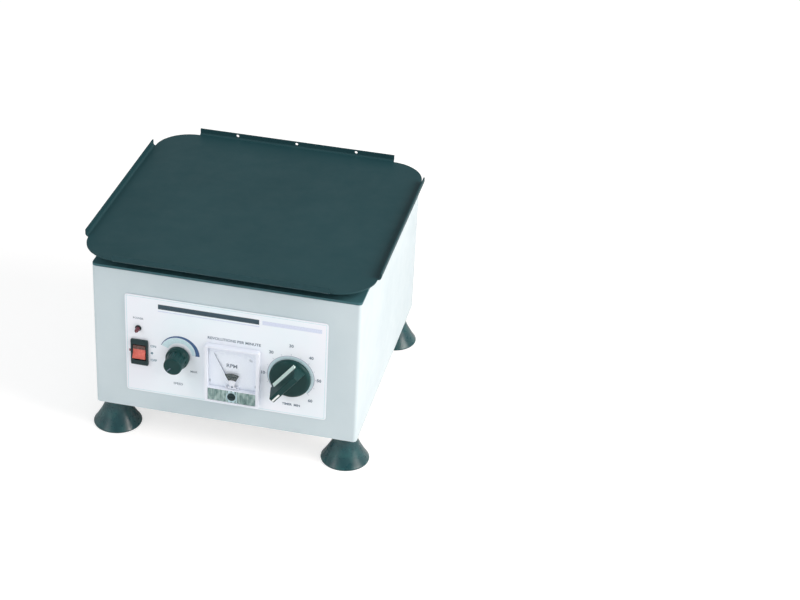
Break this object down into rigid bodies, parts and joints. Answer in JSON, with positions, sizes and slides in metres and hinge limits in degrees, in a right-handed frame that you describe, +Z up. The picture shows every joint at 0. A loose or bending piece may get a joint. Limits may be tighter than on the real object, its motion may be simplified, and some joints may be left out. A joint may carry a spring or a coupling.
{
  "type": "orbital platform shaker",
  "caption": "Bench shaker: a square upturned-edge tray that moves in a level circle on a steel cabinet with speed knob, meter, timer and rubber feet.",
  "frame": {"origin": "on the floor, at the middle of the whole object's box", "axes": "+Z up; the control panel faces -Y"},
  "size_m": [0.331, 0.3414, 0.2388],
  "materials": {
    "white_paint": "semi-gloss",
    "dark_paint": "satin, fine grain",
    "black_rubber": "moulded",
    "printed_plate": "satin print",
    "black_plastic": "moulded",
    "red_plastic": "glossy",
    "red_lens": "glossy",
    "white_plastic": "glossy",
    "band_plastic": "moulded",
    "clear_plastic": "clear",
    "dial_card": "matt print",
    "steel": "turned",
    "aluminium": "turned",
    "zinc_plate": "zinc plated",
    "belt_rubber": "matt",
    "board_green": "lacquered",
    "core_steel": "varnished laminations"
  },
  "bodies": {
    "cabinet": {"cabinet_shell": "white_paint", "rear_panel": "white_paint", "deck_plate": "dark_paint", "base_plate": "zinc_plate", "control_panel": "printed_plate", "switch_frame": "black_plastic", "lamp_bezel": "black_plastic", "lamp_lens": "red_lens", "speed_potentiometer": "steel", "meter_case": "white_plastic", "meter_dial": "dial_card", "meter_bridge": "black_plastic", "meter_window": "clear_plastic", "meter_cover": "band_plastic", "timer_body": "zinc_plate", "motor": "steel", "motor_bracket": "zinc_plate", "drive_belt": "belt_rubber", "drive_bearing_housing": "aluminium", "drive_bearing_upper": "steel", "drive_bearing_lower": "steel", "speed_board": "board_green", "transformer": "core_steel", "power_inlet": "black_plastic", "fuse_holder": "black_plastic", "foot_front_left": "black_rubber", "idler_bearing_front_left": "aluminium", "foot_front_right": "black_rubber", "idler_bearing_front_right": "aluminium", "foot_rear_left": "black_rubber", "idler_bearing_rear_left": "aluminium", "foot_rear_right": "black_rubber", "idler_bearing_rear_right": "aluminium"},
    "drive": {"drive_crank": "steel", "counterweight": "steel", "drive_pulley": "aluminium"},
    "motor_rotor": {"motor_shaft": "steel", "motor_pulley": "aluminium"},
    "platform": {"tray": "dark_paint", "tray_carrier": "zinc_plate", "pin_bearing_drive": "steel", "pin_bearing_front_left": "steel", "pin_bearing_front_right": "steel", "pin_bearing_rear_left": "steel", "pin_bearing_rear_right": "steel"},
    "timer_control": {"timer_knob": "black_plastic", "timer_spindle": "steel"},
    "speed_control": {"speed_knob": "black_plastic", "speed_spindle": "steel"},
    "rocker": {"switch_rocker": "red_plastic"},
    "needle": {"meter_needle": "black_plastic"},
    "zero_screw": {"meter_zero_screw": "black_plastic"},
    "idler_front_left": {"idler_crank_front_left": "steel"},
    "idler_front_right": {"idler_crank_front_right": "steel"},
    "idler_rear_left": {"idler_crank_rear_left": "steel"},
    "idler_rear_right": {"idler_crank_rear_right": "steel"}
  },
  "joints": [
    {"name": "drive_spin", "type": "hinge", "parent": "cabinet", "child": "drive", "pos_m": [0.00198, 0.0117, 0.214], "axis": [0, 0, 1], "continuous": true},
    {"name": "platform_orbit", "type": "hinge", "parent": "drive", "child": "platform", "pos_m": [0, 0.00241, 0.2316], "axis": [0, 0, 1], "continuous": true},
    {"name": "motor_spin", "type": "hinge", "parent": "cabinet", "child": "motor_rotor", "pos_m": [0.07397, 0.0667, 0.13], "axis": [0, 0, 1], "continuous": true},
    {"name": "idler_front_left_spin", "type": "hinge", "parent": "cabinet", "child": "idler_front_left", "pos_m": [-0.08803, -0.0733, 0.214], "axis": [0, 0, 1], "continuous": true},
    {"name": "idler_front_right_spin", "type": "hinge", "parent": "cabinet", "child": "idler_front_right", "pos_m": [0.09198, -0.0733, 0.214], "axis": [0, 0, 1], "continuous": true},
    {"name": "idler_rear_left_spin", "type": "hinge", "parent": "cabinet", "child": "idler_rear_left", "pos_m": [-0.08803, 0.0967, 0.214], "axis": [0, 0, 1], "continuous": true},
    {"name": "idler_rear_right_spin", "type": "hinge", "parent": "cabinet", "child": "idler_rear_right", "pos_m": [0.09198, 0.0967, 0.214], "axis": [0, 0, 1], "continuous": true},
    {"name": "timer_turn", "type": "hinge", "parent": "cabinet", "child": "timer_control", "pos_m": [0.07667, -0.1443, 0.112], "axis": [0, 1, 0], "range_deg": [0, 270]},
    {"name": "speed_turn", "type": "hinge", "parent": "cabinet", "child": "speed_control", "pos_m": [-0.05033, -0.1443, 0.116], "axis": [0, 1, 0], "range_deg": [0, 280]},
    {"name": "rocker_tip", "type": "hinge", "parent": "cabinet", "child": "rocker", "pos_m": [-0.09492, -0.1434, 0.114], "axis": [1, 0, 0], "range_deg": [0, 24]},
    {"name": "needle_swing", "type": "hinge", "parent": "cabinet", "child": "needle", "pos_m": [0.01178, -0.1456, 0.0898], "axis": [0, 1, 0], "range_deg": [0, 57], "stiffness_Nm_per_rad": 0.0002, "springref_deg": -20.05},
    {"name": "zero_screw_turn", "type": "hinge", "parent": "cabinet", "child": "zero_screw", "pos_m": [0.01178, -0.1456, 0.078], "axis": [0, 1, 0], "range_deg": [-45, 45]}
  ],
  "couplings": [
    {"joint": "platform_orbit", "follows": "drive_spin", "ratio": -1},
    {"joint": "motor_spin", "follows": "drive_spin", "ratio": 5},
    {"joint": "idler_front_left_spin", "follows": "drive_spin", "ratio": 1},
    {"joint": "idler_front_right_spin", "follows": "drive_spin", "ratio": 1},
    {"joint": "idler_rear_left_spin", "follows": "drive_spin", "ratio": 1},
    {"joint": "idler_rear_right_spin", "follows": "drive_spin", "ratio": 1}
  ]
}
